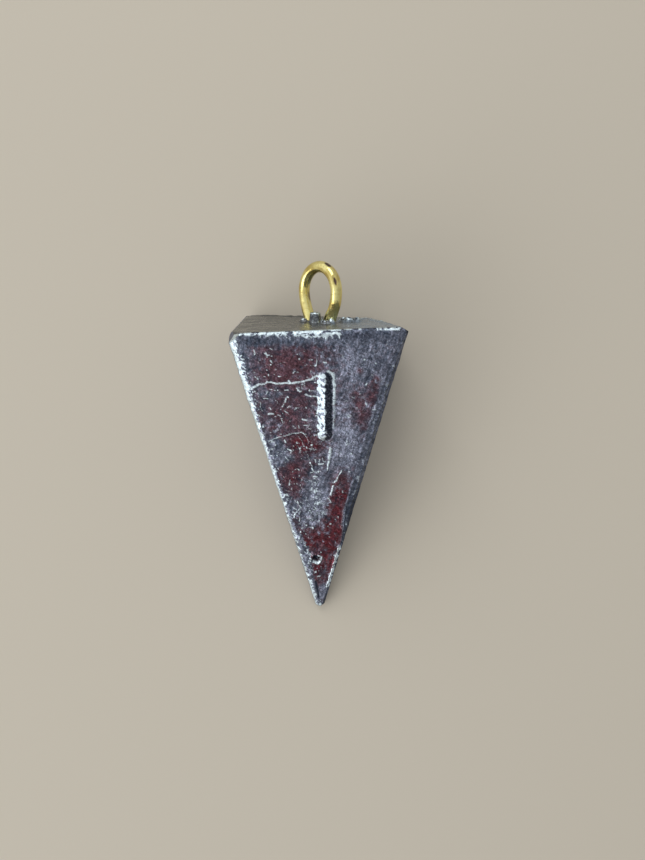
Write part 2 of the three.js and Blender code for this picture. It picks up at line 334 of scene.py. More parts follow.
# Patches of the painted maroon reflection, the scuffs, the grey haze and the shade of the marked face
MAROON_REFLECTION_PATCHES = (
    (-2.3, 2.9, 4.4, 2.2, 0.32), (-2.4, 7.7, 3.0, 3.4, 0.27), (-1.0, 11.0, 1.9, 0.9, 0.4),
    (-2.4, 14.6, 1.5, 1.9, 0.3), (4.7, 6.2, 0.6, 1.1, 0.3), (4.0, 8.3, 0.6, 1.3, 0.4),
    (2.4, 16.0, 0.8, 1.7, 0.45), (1.5, 19.5, 0.8, 3.0, 0.7), (0.8, 23.5, 1.2, 2.6, 0.6),
    (0.3, 26.3, 0.9, 1.8, 0.6), (-0.9, 22.5, 1.5, 1.9, 0.4), (-7.0, 2.6, 1.2, 2.6, -0.4),
    (-3.9, 5.9, 1.6, 0.6, -0.2), (-3.9, 11.9, 1.1, 1.3, -0.65), (3.8, 3.0, 2.6, 2.2, -0.28),
    (5.1, 4.8, 0.45, 1.2, 0.35), (3.7, 3.7, 0.35, 0.5, 0.45), (3.5, 6.3, 0.5, 0.9, 0.3),
    (2.6, 11.6, 1.6, 2.6, -0.3), (-0.2, 17.0, 1.2, 2.3, -0.45), (-3.4, 17.6, 0.8, 1.0, -0.3),
)
SCUFF_PATCHES = (
    (-0.2, 15.8, 0.9, 1.3, 0.8), (-0.2, 18.4, 1.4, 1.1, 0.9), (2.5, 11.2, 1.6, 2.2, 0.5),
    (3.0, 3.4, 2.6, 1.6, 0.35), (2.6, 7.6, 1.6, 3.0, 0.25),
)
HAZE_PATCHES = (
    (3.4, 3.4, 2.6, 1.8, 0.42), (2.6, 7.0, 1.3, 3.0, 0.3), (2.5, 11.2, 1.6, 2.2, 0.52),
    (1.2, 13.6, 1.2, 2.0, 0.3),
    (-0.2, 15.8, 0.9, 1.3, 0.55), (-0.2, 18.4, 1.4, 1.1, 0.65), (-0.5, 20.3, 1.1, 1.2, 0.25),
    (-3.7, 11.8, 1.2, 1.5, 0.05), (-5.2, 3.6, 1.0, 2.2, 0.2),
)
SHADE_PATCHES = (
    (-4.6, 1.0, 2.4, 0.4, 0.6), (-1.2, 1.25, 1.6, 0.3, 0.4), (3.6, 0.5, 1.9, 0.35, 0.6),
    (-3.3, 6.4, 0.9, 0.8, 0.3), (4.56, 13.62, 0.22, 0.5, 1.0), (6.4, 3.2, 0.35, 0.4, 0.6),
    (-3.9, 1.9, 1.0, 0.5, 0.25), (0.35, 25.9, 0.55, 0.5, 0.6), (0.1, 23.4, 0.9, 0.35, 0.4),
    (-3.7, 11.9, 1.0, 1.3, 0.42), (2.9, 14.0, 0.8, 1.2, 0.25), (-0.2, 13.0, 1.0, 0.8, 0.25),
)
# Patches rubbed pale in the scuffs under the raised stroke
PALE_PATCHES = (
    (-0.35, 16.2, 0.36, 0.3, 0.7), (-0.1, 17.55, 0.38, 0.28, 0.8), (-1.0, 19.3, 0.5, 0.1, 0.6),
    (-0.2, 18.9, 0.6, 0.35, 0.4), (0.45, 18.6, 0.13, 0.25, 0.6), (1.04, 11.4, 0.24, 0.2, 0.6),
    (0.02, 14.0, 0.28, 0.12, 0.7), (-0.7, 17.0, 0.2, 0.15, 0.6), (0.4, 13.6, 0.2, 0.3, 0.4),
    (-2.6, 15.95, 0.09, 0.14, 0.9), (-2.5, 18.55, 0.1, 0.12, 0.9), (-1.6, 14.85, 0.08, 0.2, 0.6),
)


def half_width(v):
    """From the middle of the marked face to its sharp edge."""
    return (SLANT - v) * BASE_WIDTH / 2 / SLANT


def strokes(seed, count, half_widths, strengths, longest, crowd, turns=(0.0, 0.0, 0.5, 1.2, 1.6)):
    """Short strokes over the marked face: (half width, strength, ends). crowd(u, v) thins them out."""
    chance = random.Random(seed)
    made = []
    while len(made) < count:
        v = chance.uniform(0.9, 29.5)
        u = chance.uniform(-1, 1) * half_width(v) * 0.95
        if chance.random() > crowd(u, v):
            continue
        turn = chance.choice(turns) + chance.gauss(0, 0.35)
        length = longest * chance.random() ** 3
        du, dv = length * math.cos(turn), length * math.sin(turn)
        strength = strengths[0] + (strengths[1] - strengths[0]) * chance.random() ** 2
        made.append((chance.uniform(*half_widths), strength, ((u - du, v - dv), (u + du, v + dv))))
    return made


def knock_crowd(u, v):
    """Knocks lie thickest left of the raised stroke, and none at the tip."""
    if v > 27.5:
        return 0.0
    crowd = 1.0 if u < 0.2 else 0.2
    return crowd * (0.22 if v > 20.5 else 1.0)


def smear_crowd(u, v):
    """Smears lie thickest where the face is scuffed."""
    here = np.array([u]), np.array([v])
    return (0.12 if u < -1.8 else 0.3) + patches(*here, SCUFF_PATCHES)[0]


def sweep_crowd(u, v):
    """Broad sweeps lie right of the raised stroke."""
    return 1.0 if u > 1.4 and v < 16 else 0.2


KNOCKS = strokes(11, 900, (0.045, 0.085), (0.25, 1.0), 0.24, knock_crowd)
SMEARS = strokes(23, 700, (0.07, 0.2), (0.3, 1.0), 0.5, smear_crowd)
DARK_STROKES = strokes(37, 700, (0.07, 0.17), (0.3, 1.0), 0.4, knock_crowd)
PALE_SWEEPS = strokes(51, 230, (0.07, 0.2), (0.5, 1.0), 2.2, sweep_crowd, (-1.0, -0.7, -1.3))
DARK_SWEEPS = strokes(67, 130, (0.12, 0.28), (0.3, 0.6), 1.2, sweep_crowd, (-1.0, -0.7, -1.3))


def stroke_mask(u, v, drawn):
    """The strongest of the strokes at each place, 0 to 1."""
    mask = np.zeros(len(u))
    for half, strength, line in drawn:
        (start_u, start_v), (end_u, end_v) = line
        reach = 3 * half
        near = (u > min(start_u, end_u) - reach) & (u < max(start_u, end_u) + reach)
        near &= (v > min(start_v, end_v) - reach) & (v < max(start_v, end_v) + reach)
        gap = line_gap(u[near], v[near], line) / half
        mask[near] = np.maximum(mask[near], strength * np.exp(-(gap**2)))
    return mask


def fin_share(v):
    """1 where the thin fin stands on the right edge, towards the tip."""
    return ramp(22.2, 23.2, v) * ramp(28.4, 27.6, v)


BAND_END = 2.05
CREASE = ((-0.4, 27.3), (-0.2, 28.4), (-0.1, 29.4))
# Two patches at the tip: a dull facet, and a bright dot at the very end
TIP_FACET = (0.45, 28.4, 0.5, 1.1, 1.0)
TIP_DOT = (0.05, 30.3, 0.14, 0.2, 1.0)

# Widths of the strips along the slant edges, as (distances down from the base edge), (widths)
LEFT_STRIP = ((1.0, 4.5, 6.5, 10, 14, 18, 22, 27), (0.7, 0.75, 0.55, 0.4, 0.4, 0.3, 0.2, 0.25))
TIP_STRIP = ((20.5, 23.5, 26.5, 28.0), (0.8, 1.25, 0.75, 0.6))
RIGHT_STRIP = ((0.9, 4.6, 12, 18.4, 22), (0.7, 0.95, 1.05, 0.95, 0.3))


def band_border(u):
    """How far down from the rim the bright band reaches."""
    across = (-6.5, -4.7, -2.0, -1.4, -0.4, 0.4, BAND_END)
    return np.interp(u, across, (0.45, 0.5, 0.5, 0.52, 0.7, 0.72, 0.64))


class MarkedFace:
    """Places on the marked face, and how much painted maroon reflection, bare lead and highlight, shade and
    haze lies there.
    """

    def __init__(self, u, v):
        flat = np.column_stack((u, v, np.zeros(len(u))))
        coarse = wander(flat, 1.1, seed=4.0)
        mid = wander(flat, 3.2, seed=9.0)
        fine = wander(flat, 7.0, octaves=2, seed=2.0)
        self.places = u, v, coarse, mid, fine
        self.bent_u, self.bent_v = u + 0.09 * mid, v + 0.12 * coarse
        self.left_in = half_width(v) + u
        self.right_in = half_width(v) - u
        self.bar_across, self.bar_away = bar_places(u, v)
        self.pit_right, self.pit_down, self.pit_away = pit_places(u, v)
        self.knocks = stroke_mask(u, self.bent_v, KNOCKS)
        self.dark_strokes = stroke_mask(u, self.bent_v, DARK_STROKES)

    def near_line(self, half, line):
        """1 on a line, and less away from it."""
        return peak(line_gap(self.bent_u, self.bent_v, line), 0, half)

    def height(self):
        """How far the face stands out."""
        u, v, coarse, mid, _ = self.places
        slope = np.maximum(self.bar_away + 0.05 * mid, 0) ** 1.25
        height = BAR_HEIGHT * np.clip(1 - slope, 0, 1) * (1 + 0.06 * coarse)
        height -= PIT_DEPTH * (1 - ramp(0.25, 0.95, self.pit_away))
        height += 0.09 * peak(self.pit_away, 1.15, 0.25)
        for half, rise, _, line in FACE_LINES:
            height += rise * self.near_line(half, line)
        height += (0.03 * self.knocks - 0.02 * self.dark_strokes) * ramp(0.9, 1.1, self.bar_away)
        height += 0.1 * fin_share(v) * ramp(0.6, 0.3, self.right_in + 0.1 * mid)
        height -= 0.05 * patches(u, v, SCUFF_PATCHES) * (0.5 + mid)
        # The short band along the rim stands a little proud
        height += 0.05 * (1 - ramp(-0.1, 0.1, v - band_border(u) - 0.2 * mid)) * (u < BAND_END)
        return height + 0.012 * coarse + 0.01 * mid

    # Raises the bare mask, which holds bare lead and painted highlights.
    def add_bare_and_highlight(self, amount):
        self.bare_and_highlight = np.maximum(self.bare_and_highlight, amount)

    def darken(self, amount):
        self.shade = np.maximum(self.shade, amount)

    def cloud(self, amount):
        self.haze = np.maximum(self.haze, amount)

    def lay_skin(self, u, v, coarse, mid, fine):
        # The maroon laid here is a painted reflection, in patches.
        self.maroon_reflection = ramp(0.1, 0.95, 0.49 + patches(u, v, MAROON_REFLECTION_PATCHES) + 0.12 * coarse + 0.1 * mid)
        self.maroon_reflection *= ramp(0.8, 1.6, v + 0.4 * mid) * (0.82 + 0.18 * ramp(9.5, 11.0, v))
        self.haze = np.clip(0.14 + patches(u, v, HAZE_PATCHES) + 0.3 * mid + 0.25 * coarse, 0, 1)
        self.shade = np.clip(patches(u, v, SHADE_PATCHES) * (1 + 0.8 * fine), 0, 1)
        smeared = stroke_mask(u + 0.2 * fine, v + 0.3 * mid, SMEARS)
        sweep_places = u + 0.3 * coarse, v + 0.15 * mid
        swept = stroke_mask(*sweep_places, PALE_SWEEPS)
        self.bare_and_highlight = 0.35 * swept * ramp(-0.2, 0.2, fine)
        self.cloud(np.maximum(smeared, swept))
        self.maroon_reflection *= 1 - 0.7 * smeared
        self.scuffed = smeared * ramp(0.1, 0.6, patches(u, v, SCUFF_PATCHES)) * ramp(-0.2, 0.2, fine)
        self.darken(0.85 * self.dark_strokes)
        self.darken(stroke_mask(*sweep_places, DARK_SWEEPS))

    def dress_left_strip(self, u, v, coarse, mid, fine):
        """Bare lead and a painted highlight along the left edge, chipped, with painted shade in its cracks.
        """
        strip = np.interp(v, *LEFT_STRIP)
        self.add_bare_and_highlight(ramp(-0.08, 0.1, strip - self.left_in + 0.25 * coarse + 0.45 * mid + 0.2 * fine))
        self.add_bare_and_highlight(0.6 * ramp(0.25, 0.45, fine + 0.3 * mid) * ramp(1.3, 0.6, self.left_in))
        self.darken(0.35 * ramp(0.0, 0.3, -mid) * ramp(1.5, 1.0, self.left_in))
        cracked = ramp(0.12, 0.25, coarse + 0.6 * mid) * ramp(0.1, 0.3, self.left_in)
        self.darken(0.5 * cracked * ramp(1.0, 0.7, self.left_in))
        self.bare_and_highlight *= 1 - 0.8 * cracked
        self.add_bare_and_highlight(ramp(26.5, 28.0, v) * ramp(-0.3, 0.1, mid) * (self.left_in < 0.5))

    def dress_tip_strip(self, u, v, coarse, mid, fine):
        """The same edge is broader and duller towards the tip, with painted shade and painted highlights in
        patches.
        """
        beside = self.left_in - np.interp(v, *TIP_STRIP)
        worn_and_highlit = ramp(20.0, 22.0, v) * ramp(0.1, -0.1, beside + 0.2 * mid)
        self.maroon_reflection *= 1 - 0.9 * worn_and_highlit
        self.cloud(worn_and_highlit * (0.35 + 0.5 * fine))
        self.darken(0.7 * worn_and_highlit * ramp(0.05, -0.25, mid))
        self.add_bare_and_highlight(0.9 * worn_and_highlit * ramp(0.15, 0.4, mid + 0.3 * fine))

    def brighten_rim(self, u, v, coarse, mid, fine):
        """A painted highlight in a layered band along the rim, darker between its layers, and a thin painted
        highlight on the lip right of it.
        """
        layers = wander(np.column_stack((0.3 * u, 1.5 * v, 0 * v)), 5.0, octaves=2, seed=3.0)
        band = ramp(-0.16, 0.16, band_border(u) - v + 0.3 * mid)
        band *= ramp(0.05, -0.05, u - BAND_END + 0.15 * mid)
        self.add_bare_and_highlight(band * (0.85 + 0.4 * fine) * (1 - 0.9 * ramp(0.1, 0.35, layers)))
        self.darken(0.5 * band * ramp(0.2, 0.5, layers))
        lip = ramp(0.14, 0.04, v) * ramp(BAND_END, BAND_END + 0.4, u) * ramp(-0.3, 0.1, mid)
        self.add_bare_and_highlight(0.75 * lip)

    def dull_right_strip(self, u, v, coarse, mid, fine):
        """A dull strip with a hazy border along the right edge, and a painted highlight on the fin's crest.
        """
        strip = np.interp(v, *RIGHT_STRIP)
        on_strip = ramp(-0.1, 0.1, strip - self.right_in)
        self.maroon_reflection *= 1 - 0.9 * on_strip
        self.haze = self.haze * (1 - on_strip) + 0.3 * on_strip
        self.cloud(peak(self.right_in, strip, 0.13) * ramp(-0.15, 0.2, fine + 0.3 * mid))
        crest = ramp(0.5, 0.36, self.right_in + 0.2 * mid) * ramp(-0.45, -0.2, mid)
        self.add_bare_and_highlight(fin_share(v) * crest)

    def dress_bar(self, u, v, coarse, mid, fine):
        """The raised stroke has a painted highlight on its left flank and painted shade on its right one."""
        self.on_bar = ramp(1.06, 0.94, self.bar_away + 0.08 * fine + 0.2 * mid)
        left_flank = ramp(0.06, -0.06, self.bar_across + 0.35 * mid)
        nicks = ramp(0.02, 0.25, mid + 0.5 * fine)
        self.shade *= 1 - self.on_bar
        self.maroon_reflection *= 1 - self.on_bar
        self.bare_and_highlight *= 1 - self.on_bar
        self.add_bare_and_highlight(self.on_bar * left_flank * (1 - 0.85 * nicks))
        self.darken(self.on_bar * (1 - left_flank) * (0.97 - 0.6 * ramp(0.0, 0.3, fine)))

    def dress_pit(self, u, v, coarse, mid, fine):
        """The blow hole is darkened with painted shade, and its lip has a painted highlight on the right and
        below.
        """
        lip = peak(self.pit_away, 1.0, 0.34)
        below = ramp(0.0, 0.6, self.pit_down - 0.5 * self.pit_right)
        lit = np.maximum(ramp(-0.2, 0.4, self.pit_right), below)
        self.add_bare_and_highlight(lip * lit * ramp(-0.5, 0.0, mid))
        self.darken(ramp(0.7, 0.4, self.pit_away))

    def draw_marks(self, u, v, coarse, mid, fine):
        """Cold laps, knocks, scuffs, and the facet and dot at the tip."""
        for half, _, bareness, line in FACE_LINES:
            self.add_bare_and_highlight(bareness * self.near_line(half, line) * ramp(-0.8, -0.3, fine))
        self.add_bare_and_highlight(self.knocks * (1 - self.on_bar))
        self.add_bare_and_highlight(0.85 * self.scuffed * (1 - self.on_bar))
        self.add_bare_and_highlight(patches(self.bent_u, self.bent_v, PALE_PATCHES) * (0.85 + 0.5 * fine))
        facet = patches(u, v, (TIP_FACET,))
        self.cloud(0.6 * facet)
        self.maroon_reflection *= 1 - 0.9 * facet
        self.add_bare_and_highlight(patches(u, v, (TIP_DOT,)))

    def dress(self):
        """Painted maroon reflection, bare lead and highlight, shade and haze, laid from the ground up."""
        steps = (self.lay_skin, self.dress_left_strip, self.dress_tip_strip, self.brighten_rim,
                 self.dull_right_strip, self.dress_bar, self.dress_pit, self.draw_marks)
        for step in steps:
            step(*self.places)
        return np.column_stack((self.maroon_reflection, self.bare_and_highlight, self.shade, self.haze))


def foot_place(side):
    half, _, shift = STRAND[3]
    out = EYE_OFFSET + shift + side * half
    return out * math.cos(EYE_TURN), out * math.sin(EYE_TURN)


def nub_places(x, z):
    """Distance from the middle of the nub, in its radii. The nub is a rounded block."""
    across, up = np.abs(x - NUB_PLACE[0]) / NUB_RADIUS, np.abs(z - NUB_PLACE[1]) / NUB_RADIUS
    return (across**3.2 + up**3.2) ** (1 / 3.2)


# Crusts of lead at the two strands: (strand, shift from it, radii, height)
CRUSTS = ((-1, (-0.4, 0.1), (0.75, 0.5), 0.34), (1, (-0.1, 0.6), (0.85, 0.6), 0.52))
GATE_RADII = (1.3, 0.75)
GATE_HEIGHT = 0.42
# A low ridge that the pour left near the right border
BASE_RIDGE = ((3.8, -3.2), (5.2, -5.6), (5.6, -2.4), (6.3, 1.0), (6.8, 3.6))


def base_height(x, z, rough):
    """How far the base stands out: crusts at the strands, the nub and the gate scar."""
    height = 0.02 * rough
    for side, shift, radii, rise in CRUSTS:
        fx, fz = foot_place(side)
        away = np.hypot((x - fx - shift[0]) / radii[0], (z - fz - shift[1]) / radii[1])
        height = np.maximum(height, rise * (1 - ramp(0.5, 1.1, away)) * (0.9 + 0.5 * rough))
        ring = np.maximum(np.hypot(x - fx, z - fz) - WIRE_RADIUS, 0)
        height = np.maximum(height, COLLAR_HEIGHT * 0.7 * peak(ring, 0, 0.22))
    away = nub_places(x, z)
    nub = NUB_HEIGHT * (1 - ramp(0.8, 1.08, away)) * (1 - 0.08 * away**2)
    gate_away = np.hypot((x - GATE_PLACE[0]) / GATE_RADII[0], (z - GATE_PLACE[1]) / GATE_RADII[1])
    gate = GATE_HEIGHT * (1 - ramp(0.45, 1.1, gate_away)) * (0.95 + 0.5 * rough)
    far_lip = ramp(-6.8, -7.1, z) * ramp(-7.5, -7.3, z) * ramp(2.5, 1.0, x)
    height += 0.08 * far_lip * (0.7 + 0.6 * rough)
    height += 0.14 * peak(line_gap(x, z, BASE_RIDGE), 0, 0.3) * (0.8 + rough)
    return np.maximum(np.maximum(height, nub * (1 + 0.1 * rough)), gate)


def base_dress(x, z, rough, fine, height):
    """No maroon reflection; bare lead, painted highlights on the nub, ridge and far lip, painted shade on and
    round the nub and crusts, and haze.
    """
    raised = ramp(0.12, 0.3, height)
    clumps = 0.9 * raised * ramp(-0.05, 0.2, fine + 0.4 * rough)
    nub_away = nub_places(x, z)
    on_nub = ramp(1.2, 1.0, nub_away)
    bare_and_highlight = np.maximum.reduce((
        clumps * (1 - on_nub) + on_nub * 0.9 * peak(nub_away, 0.72, 0.14),
        on_nub * ramp(0.94, 1.02, nub_away) * 0.4,
        0.9 * peak(line_gap(x, z, BASE_RIDGE), 0, 0.22) * ramp(-0.3, 0.1, rough),
        0.4 * ramp(0.2, 0.45, fine) * ramp(1.0, 4.5, x),
        0.3 * ramp(-6.8, -7.1, z) * ramp(-0.1, 0.4, fine),
    ))
    shade = np.maximum.reduce((
        0.5 * peak(nub_away, 1.25, 0.14),
        0.95 * raised * (1 - on_nub) * ramp(0.0, -0.2, fine + 0.4 * rough),
        0.75 * ramp(0.8, 0.87, nub_away) * ramp(1.0, 0.94, nub_away),
    ))
    haze = ramp(-0.5, 5.0, x + 2.5 * rough + 0.8 * fine) * (0.8 + 0.5 * fine)
    return np.zeros(len(x)), bare_and_highlight, np.clip(shade, 0, 1), np.clip(haze, 0, 1)


# Corners of the base that the pour left short or a knock took off: (sides of the corner), (how far
# the missing piece reaches across the edge, along the slant edge, and up or down)
CORNER_CUTS = (((1, -1), (2.55, 1.45, 17.5)), ((-1, 1), (1.75, 1.75, 2.65)))
# Right of the tip: outward normal, and a point of the flat
TIP_FLAT = ((0.55, -0.75, 0.36), (0.16, 1.72, 0.3))


def press_flats(points):
    """Presses what stands over a flat back onto it."""
    half = BASE_WIDTH / 2
    flats = [TIP_FLAT]
    for (x, z), (across, along, rise) in CORNER_CUTS:
        flats.append(((x / across, 1 / along, z / rise), (x * (half - across), SHARP_HEIGHT, z * half)))
    for normal, through in flats:
        n = np.array(normal)
        n /= np.linalg.norm(n)
        over = np.maximum((points - through) @ n, 0.0)
        points = points - over[:, None] * n
    return points


# Columns of the dress and the masks its material reads: the maroon one is a painted reflection, the bare one
# also painted highlight
BARE_AND_HIGHLIGHT_COLUMN, SHADE_COLUMN, LIVELY_COLUMN = 1, 2, 4
MASKS = ("maroon_reflection", "bare_and_highlight", "shade", "haze", "lively")


def twisted(points, on_base):
    """The corners of the base stand above and below its middle in turn."""
    twist = points[:, 0] * points[:, 2] / (BASE_WIDTH / 2) ** 2
    rise = BASE_TWIST * twist * ramp(SHARP_HEIGHT * 0.8, SHARP_HEIGHT, points[:, 1])
    stretch = 1 + rise / SHARP_HEIGHT * ~on_base
    points = points * np.column_stack((stretch, np.ones(len(points)), stretch))
    points[:, 1] += rise
    return points


def plain_dress(coarse, fine, lap):
    """The faces without marks are dressed by noise alone."""
    # A faint painted maroon reflection on these faces too.
    maroon_reflection = 0.12 * ramp(0.1, 0.6, coarse)
    bare_and_highlight = 0.35 * lap * ramp(-0.2, 0.3, fine)
    shade = 0.08 * ramp(0.1, 0.6, -coarse)
    haze = 0.35 + 0.15 * coarse
    return np.column_stack((maroon_reflection, bare_and_highlight, shade, haze, 0.12 + 0 * coarse))


def shape_marked_face(points, dress, part, share):
    """share is how far across the face each of its points lies, 0 to 1."""
    u, v = face_places(points[part])
    face = MarkedFace(u, v)
    feather = ramp(0, 0.03, share) * ramp(0, 0.03, 1 - share)
    height = face.height() * feather * ramp(-0.1, 0.5, v)
    dress[part, :LIVELY_COLUMN] = face.dress()
    dress[part, LIVELY_COLUMN] = 1.0
    points[part] += height[:, None] * FACE_NORMAL


def dress_upper_left(points, dress, part, outer, fine):
    """A slant edge rubbed bare and given a painted highlight. outer is 0 at the marked face and 1 at the side
    face.
    """
    down = face_places(points[part])[1]
    worn = wander(points[part], 5.0, seed=2.5)
    lower_part = ramp(14.0, 20.0, down)
    worn_and_highlit = ramp(-0.2, 0.2, outer - 0.22 - 0.25 * lower_part + 0.6 * worn + 0.4 * fine)
    bright = worn_and_highlit * (1 - 0.3 * lower_part * (1 - ramp(26.0, 28.0, down)))
    dull = ramp(0.0, 0.4, -worn)
    dress[part] = np.column_stack((0 * dull, bright, 0.3 * dull, 0.45 + 0 * dull, 1 + 0 * dull))


def dress_upper_right(points, dress, part, outer, fine):
    """A slant edge darkened with painted shade, with a painted highlight on its thin fin. outer is 0 at the
    side face and 1 at the marked face.
    """
    down = face_places(points[part])[1]
    fin = fin_share(down) * ramp(0.5, 0.8, outer + 0.3 * fine)
    fin = np.maximum(fin, 0.45 * peak(outer, 0.6, 0.3) * ramp(0.1, 0.4, fine))
    dark = (0.2 + 0.5 * ramp(14, 18, down)) * (1 - fin)
    dress[part] = np.column_stack((0 * fin, fin, dark, 0.35 * (1 - dark), 1 + 0 * fin))


def dress_lower_edge(dress, part, outer, fine):
    """A slant edge that is a little rubbed along its crest."""
    crest = 1 - np.abs(outer * 2 - 1)
    dress[part, BARE_AND_HIGHLIGHT_COLUMN] = np.maximum(dress[part, BARE_AND_HIGHLIGHT_COLUMN], 0.5 * crest * ramp(0.0, 0.4, fine))


def press_crease(points, dress, part):
    """The crease at the tip, darkened with painted shade, runs on over the edges beside the marked face."""
    u, v = face_places(points[part])
    creased = peak(line_gap(u, v, CREASE), 0, 0.16)
    dress[part, BARE_AND_HIGHLIGHT_COLUMN] *= 1 - creased
    dress[part, SHADE_COLUMN] = np.maximum(dress[part, SHADE_COLUMN], creased)
    points[part] -= 0.08 * creased[:, None] * FACE_NORMAL


def shape_base(points, dress, part):
    x, z = points[part, 0], points[part, 2]
    flat = np.column_stack((x, z, np.zeros(len(x))))
    rough, fine = wander(flat, 1.6, octaves=4, seed=3.0), wander(flat, 5.0, seed=7.0)
    height = base_height(x, z, rough)
    dress[part, :LIVELY_COLUMN] = np.column_stack(base_dress(x, z, rough, fine, height))
    dress[part, LIVELY_COLUMN] = 0.18 + 0.15 * ramp(-0.5, 5.0, x + 2.5 * rough)
    points[part, 1] += height


def uneven_sides(points, flat_part, coarse, fine, lap):
    """The sides swell and sink a little, but not near the tip or on the lower face."""
    outward = points * (1, 0, 1)
    outward /= np.maximum(np.linalg.norm(outward, axis=1), 0.3)[:, None]
    swell = (0.05 * coarse + 0.012 * fine - 0.03 * lap) * ramp(2.0, 6.0, points[:, 1])
    lower = points[:, 2] < -points[:, 1] * SLOPE + 0.25
    return points + np.where(flat_part | lower, 0.0, swell)[:, None] * outward


def build_lead(material):
    rings = pyramid_rings()
    side = np.tile(np.arange(RING_COUNT), len(rings))
    ring = np.repeat(np.arange(len(rings)), RING_COUNT)
    on_base = ring >= TIP_STEPS + RING_STEPS + RIM_STEPS
    points = twisted(np.vstack(rings), on_base)

    coarse, fine = wander(points, 0.7, seed=5.0), wander(points, 3.0, seed=6.0)
    lap = wander(points * (0.5, 1.0, 0.5), 0.3, seed=7.0)
    lap = peak(lap, 0, 0.035) * ramp(-0.1, 0.3, coarse)
    dress = plain_dress(coarse, fine, lap)

    last = CORNER_STEPS + MARKED_STEPS
    marked = (side >= CORNER_STEPS) & (side <= last) & ~on_base
    shape_marked_face(points, dress, marked, (side[marked] - CORNER_STEPS) / MARKED_STEPS)

    def edge(start, first=1):
        """A slant edge's points, how far across it they lie, and their fine noise."""
        step = side - start
        part = (step >= first) & (step < CORNER_STEPS) & ~on_base
        return part, step[part] / CORNER_STEPS, fine[part]

    dress_upper_left(points, dress, *edge(last))
    dress_upper_right(points, dress, *edge(0, 0))
    for number in (2, 3):
        dress_lower_edge(dress, *edge(number * (CORNER_STEPS + SIDE_STEPS) + MARKED_STEPS - SIDE_STEPS))
    press_crease(points, dress, (side < last + CORNER_STEPS) & ~on_base)
    shape_base(points, dress, on_base)

    middle = points[-RING_COUNT:].mean(axis=0)
    tip = (0.0, BALL_CENTRE - TIP_RADIUS, 0.0)
    points = press_flats(uneven_sides(points, on_base, coarse, fine, lap))
    points = np.vstack((points, tip, middle))
    dress = np.vstack((dress, dress[0], dress[-1]))
    faces = loft_faces(len(rings), RING_COUNT, len(points) - 2, len(points) - 1)
    lead = make_piece("cast_lead", points, faces, material)
    for name, values in zip(MASKS, dress.T):
        add_mask(lead, name, values)
    add_mask(lead, "poured", np.concatenate((on_base.astype(float), (0.0, 1.0))))
    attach(lead, "root")
    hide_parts("lead_body")


# The wire

def wire_point(across, beyond):
    """A point in the eye's plane: across from its middle, and beyond the base."""
    out = EYE_OFFSET + across
    return np.array((out * math.cos(EYE_TURN), SHARP_HEIGHT + beyond, out * math.sin(EYE_TURN)))


def wire_route():
    strand = [wire_point(shift - half, reach) for half, reach, shift in STRAND]
    back = [wire_point(shift + half, reach) for half, reach, shift in reversed(STRAND)]
    arc = []
    centre = EYE_REACH - EYE_RADIUS
    for i in range(EYE_STEPS + 1):
        angle = math.pi * (1 - i / EYE_STEPS)
        arc.append(wire_point(EYE_RADIUS * math.cos(angle), centre + EYE_RADIUS * math.sin(angle)))
    return np.array(strand + arc + back)


def blend(a, b, t_a, t_b, t):
    return (t_b - t) / (t_b - t_a) * a + (t - t_a) / (t_b - t_a) * b


def curve_through(route, per_span):
    """Centripetal Catmull-Rom curve through every point of the route."""
    ends = np.vstack((2 * route[0] - route[1], route, 2 * route[-1] - route[-2]))
    knots = np.concatenate(([0], np.cumsum(np.linalg.norm(np.diff(ends, axis=0), axis=1) ** 0.5)))
    out = []
    for k in range(1, len(ends) - 2):
        p0, p1, p2, p3 = ends[k - 1:k + 3]
        t0, t1, t2, t3 = knots[k - 1:k + 3]
        for t in np.linspace(t1, t2, per_span, endpoint=False):
            a1 = blend(p0, p1, t0, t1, t)
            a2 = blend(p1, p2, t1, t2, t)
            a3 = blend(p2, p3, t2, t3, t)
            out.append(blend(blend(a1, a2, t0, t2, t), blend(a2, a3, t1, t3, t), t1, t2, t))
    out.append(route[-1])
    return np.array(out)


WIRE_SIDES = 40
WIRE_PLANE = np.array((-math.sin(EYE_TURN), 0.0, math.cos(EYE_TURN)))

# Marks on the round of the eye: (degrees on the round, degrees round the wire), (half length along the
# wire, half width), depth and darkness; the one with the deepest dent is darkened as painted shade in its
# notch
EYE_MARKS = (
    ((63, 12), (0.5, 0.24), 0.02, 0.95),
    ((22, 40), (0.42, 0.15), 0.13, 0.95),
    ((-2, 12), (0.85, 0.34), 0.07, 0.0),
    ((-34, 50), (0.5, 0.3), 0.03, 0.15),
    ((196, 205), (0.5, 0.25), 0.03, 0.7),
    ((150, 190), (0.6, 0.3), 0.02, 0.3),
)


def eye_mark(points, place, reach):
    """1 at a place on the skin of the round, and less away from it, 0 to 1."""
    angle, around = math.radians(place[0]), math.radians(place[1])
    outward = wire_point(math.cos(angle), math.sin(angle)) - wire_point(0, 0)
    along = wire_point(-math.sin(angle), math.cos(angle)) - wire_point(0, 0)
    spot = wire_point(0, EYE_REACH - EYE_RADIUS) + EYE_RADIUS * outward
    spot += WIRE_RADIUS * (math.cos(around) * outward + math.sin(around) * WIRE_PLANE)
    away = points - spot
    lengthwise = away @ along
    sideways = np.linalg.norm(away - lengthwise[:, None] * along, axis=1)
    return np.exp(-((lengthwise / reach[0]) ** 2) - (sideways / reach[1]) ** 2)


